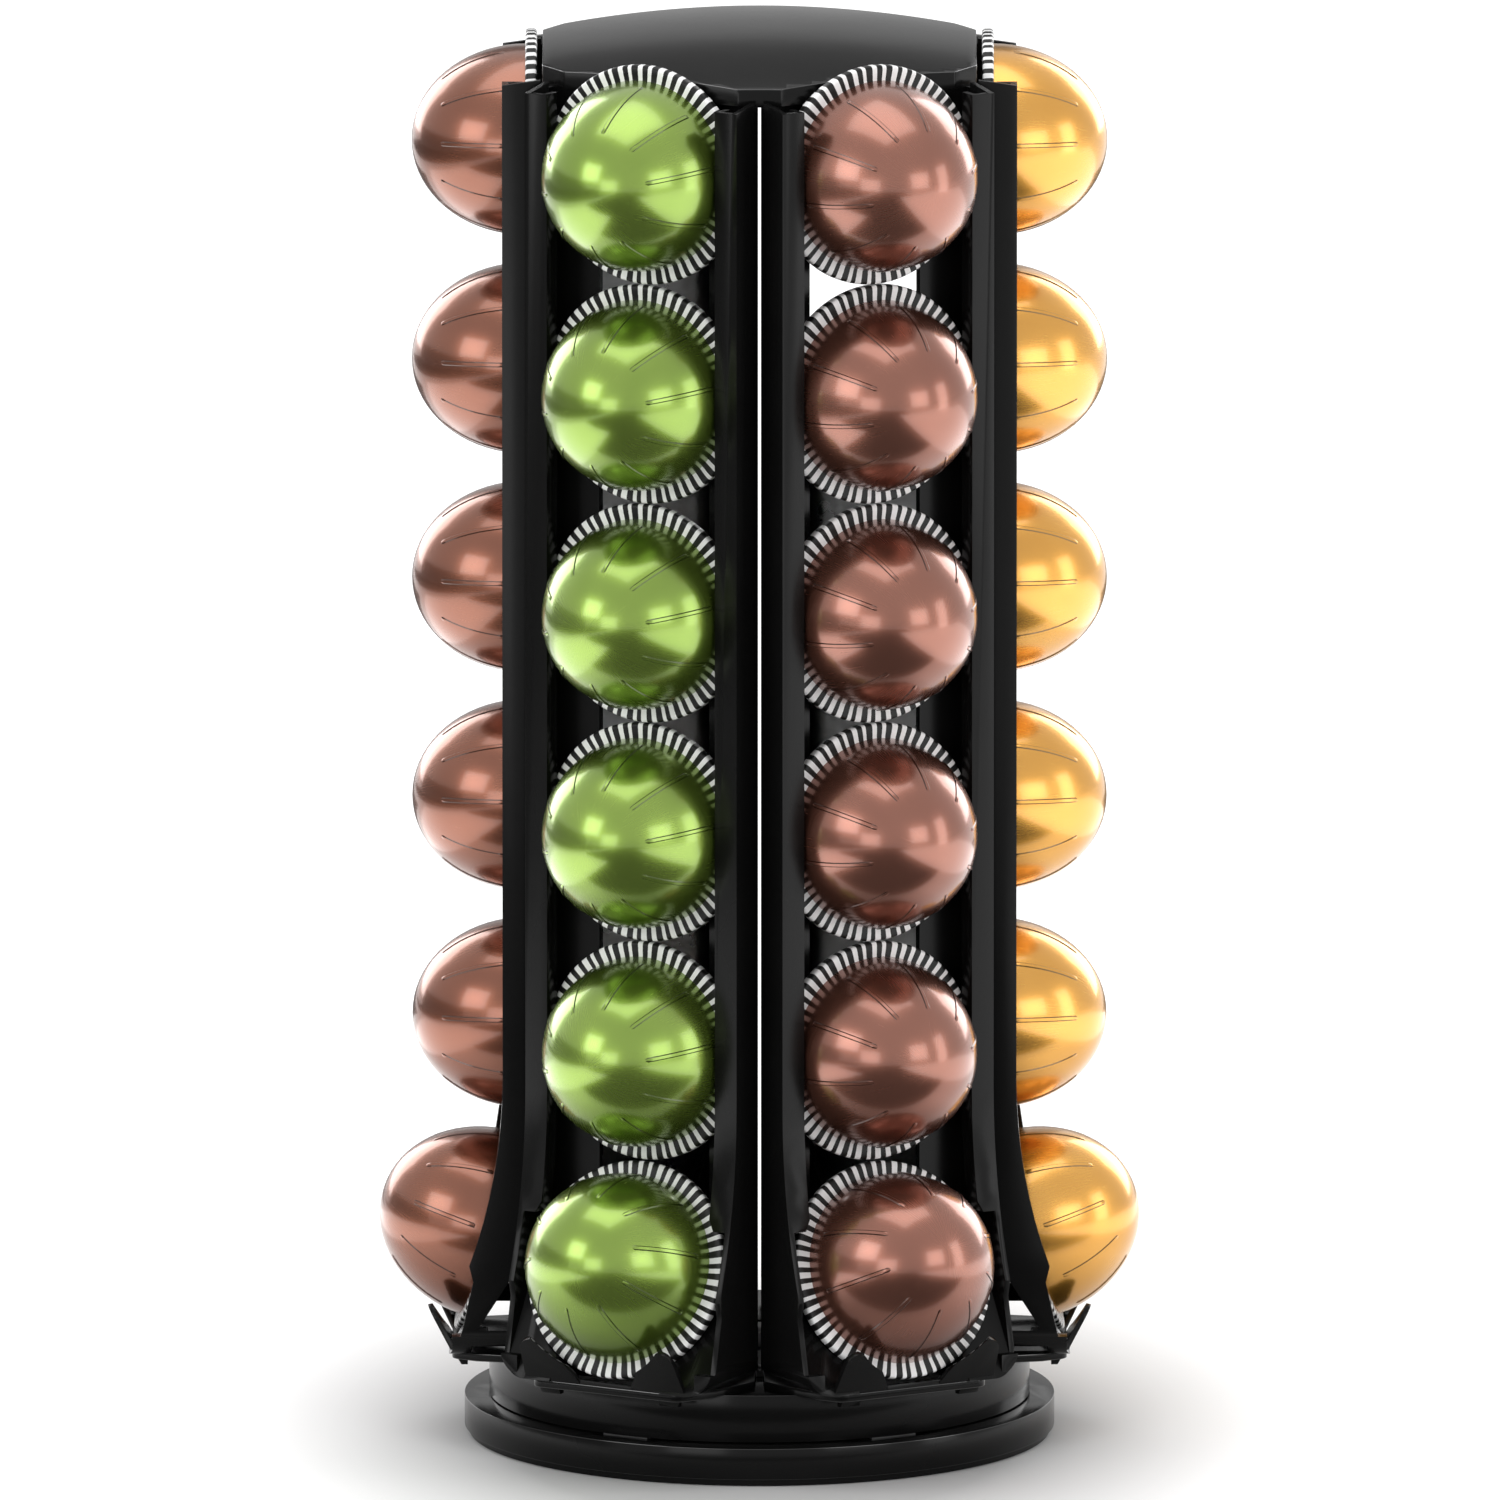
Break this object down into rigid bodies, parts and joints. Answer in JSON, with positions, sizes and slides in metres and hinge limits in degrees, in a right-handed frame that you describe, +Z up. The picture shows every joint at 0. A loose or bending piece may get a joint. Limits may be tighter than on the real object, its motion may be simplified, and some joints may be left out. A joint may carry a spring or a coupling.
{
  "type": "coffee capsule dispenser",
  "caption": "Free-standing turning tower that stores domed coffee capsules in upright columns and hands each one out at a sloping cradle.",
  "frame": {"origin": "on the floor plane under the turning axis, at the centre of the foot pads", "axes": "+Z up along the turning axis; +X out through the column that faces right of the pictured front; the front is -Y, between two columns"},
  "size_m": [0.2152, 0.1906, 0.3982],
  "materials": {
    "black_plastic": "black, high gloss, moulded",
    "foot_rubber": "black soft rubber pads, matte",
    "glide_plastic": "off-white slippery plastic, satin",
    "bolt_steel": "plated steel, satin",
    "capsule_gold": "thin lacquered aluminium, metallic gold, with a bare silver foil on the flat side",
    "capsule_copper": "thin lacquered aluminium, metallic copper, with a bare silver foil on the flat side",
    "capsule_green": "thin lacquered aluminium, metallic green, with a bare silver foil on the flat side",
    "capsule_brown": "thin lacquered aluminium, metallic brown, with a bare silver foil on the flat side"
  },
  "bodies": {
    "base": {"foot_pads": "foot_rubber", "base_disc": "black_plastic", "glide_pads": "glide_plastic", "pivot_bolt": "bolt_steel", "lock_nut": "bolt_steel"},
    "carousel": {"turntable_drum": "black_plastic", "carousel_plate": "black_plastic", "channel_1": "black_plastic", "channel_2": "black_plastic", "channel_3": "black_plastic", "channel_4": "black_plastic", "channel_5": "black_plastic", "channel_6": "black_plastic", "top_plate": "black_plastic", "lid": "black_plastic"},
    "stack_1": {"capsule_stack_1": "capsule_gold"},
    "front_1": {"front_capsule_1": "capsule_gold"},
    "stack_2": {"capsule_stack_2": "capsule_gold"},
    "front_2": {"front_capsule_2": "capsule_gold"},
    "stack_3": {"capsule_stack_3": "capsule_copper"},
    "front_3": {"front_capsule_3": "capsule_copper"},
    "stack_4": {"capsule_stack_4": "capsule_copper"},
    "front_4": {"front_capsule_4": "capsule_copper"},
    "stack_5": {"capsule_stack_5": "capsule_green"},
    "front_5": {"front_capsule_5": "capsule_green"},
    "stack_6": {"capsule_stack_6": "capsule_brown"},
    "front_6": {"front_capsule_6": "capsule_brown"}
  },
  "joints": [
    {"name": "carousel_spin", "type": "hinge", "parent": "base", "child": "carousel", "pos_m": [0, 0, 0], "axis": [0, 0, 1], "continuous": true},
    {"name": "stack_1_lift", "type": "slide", "parent": "carousel", "child": "stack_1", "axis": [0, 0, 1], "range_m": [0, 0.3]},
    {"name": "front_capsule_1_pull", "type": "slide", "parent": "carousel", "child": "front_1", "axis": [0.9397, 0, 0.342], "range_m": [0, 0.06]},
    {"name": "stack_2_lift", "type": "slide", "parent": "carousel", "child": "stack_2", "axis": [0, 0, 1], "range_m": [0, 0.3]},
    {"name": "front_capsule_2_pull", "type": "slide", "parent": "carousel", "child": "front_2", "axis": [0.4698, 0.8138, 0.342], "range_m": [0, 0.06]},
    {"name": "stack_3_lift", "type": "slide", "parent": "carousel", "child": "stack_3", "axis": [0, 0, 1], "range_m": [0, 0.3]},
    {"name": "front_capsule_3_pull", "type": "slide", "parent": "carousel", "child": "front_3", "axis": [-0.4698, 0.8138, 0.342], "range_m": [0, 0.06]},
    {"name": "stack_4_lift", "type": "slide", "parent": "carousel", "child": "stack_4", "axis": [0, 0, 1], "range_m": [0, 0.3]},
    {"name": "front_capsule_4_pull", "type": "slide", "parent": "carousel", "child": "front_4", "axis": [-0.9397, 0, 0.342], "range_m": [0, 0.06]},
    {"name": "stack_5_lift", "type": "slide", "parent": "carousel", "child": "stack_5", "axis": [0, 0, 1], "range_m": [0, 0.3]},
    {"name": "front_capsule_5_pull", "type": "slide", "parent": "carousel", "child": "front_5", "axis": [-0.4698, -0.8138, 0.342], "range_m": [0, 0.06]},
    {"name": "stack_6_lift", "type": "slide", "parent": "carousel", "child": "stack_6", "axis": [0, 0, 1], "range_m": [0, 0.3]},
    {"name": "front_capsule_6_pull", "type": "slide", "parent": "carousel", "child": "front_6", "axis": [0.4698, -0.8138, 0.342], "range_m": [0, 0.06]}
  ]
}
